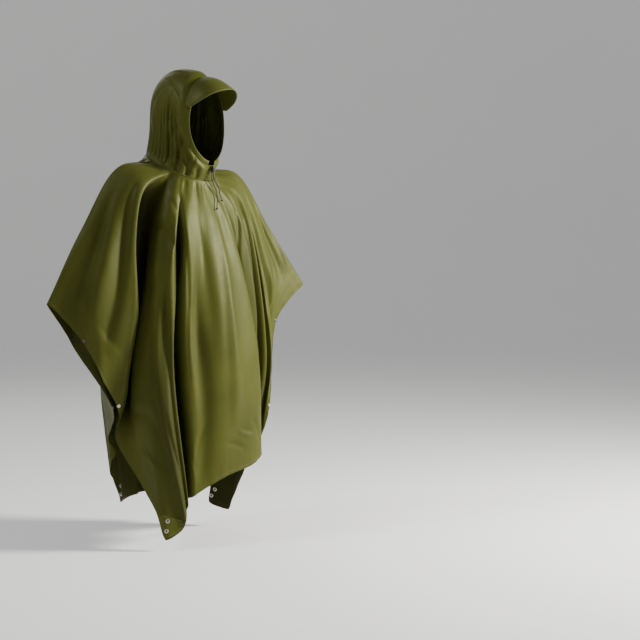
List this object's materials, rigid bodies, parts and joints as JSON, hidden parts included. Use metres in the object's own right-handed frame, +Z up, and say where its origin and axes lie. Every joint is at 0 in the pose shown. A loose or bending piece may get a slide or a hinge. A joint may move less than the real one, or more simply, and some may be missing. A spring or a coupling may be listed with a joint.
{
  "type": "rain poncho",
  "caption": "Hooded rain poncho with a visored hood, snap-closed sides, corner patches with eyelets and a drawcord, draped hollow as if worn.",
  "frame": {"origin": "middle of the neck, where the wearer's neck and shoulders carry the poncho", "axes": "+Z up; the front of the poncho faces -Y; the wearer's left is +X"},
  "size_m": [0.9174, 0.4171, 1.4125],
  "materials": {
    "shell_fabric": "satin coated woven polyester, olive green",
    "edging_fabric": "satin coated woven polyester, olive green, two layers",
    "metal": "nickel plated, satin",
    "cord_plastic": "matte black, braided cord and moulded lock"
  },
  "bodies": {
    "root": {"hood_right": "shell_fabric", "hood_left": "shell_fabric", "edge_casing_right": "edging_fabric", "edge_casing_left": "edging_fabric", "visor": "shell_fabric", "front_panel": "shell_fabric", "back_panel": "shell_fabric", "corner_patch_front_right": "edging_fabric", "eyelet_front_right_1": "metal", "eyelet_front_right_2": "metal", "press_stud_front_right_open": "metal", "press_stud_front_right_closed": "metal", "corner_patch_front_left": "edging_fabric", "eyelet_front_left_1": "metal", "eyelet_front_left_2": "metal", "press_stud_front_left_open": "metal", "press_stud_front_left_closed": "metal", "corner_patch_back_right": "edging_fabric", "eyelet_back_right_1": "metal", "eyelet_back_right_2": "metal", "press_stud_back_right_open": "metal", "press_stud_back_right_closed": "metal", "corner_patch_back_left": "edging_fabric", "eyelet_back_left_1": "metal", "eyelet_back_left_2": "metal", "press_stud_back_left_open": "metal", "press_stud_back_left_closed": "metal", "cord_lock": "cord_plastic", "cord_end_right": "cord_plastic", "cord_knot_right": "cord_plastic", "cord_end_left": "cord_plastic", "cord_knot_left": "cord_plastic"}
  },
  "joints": []
}
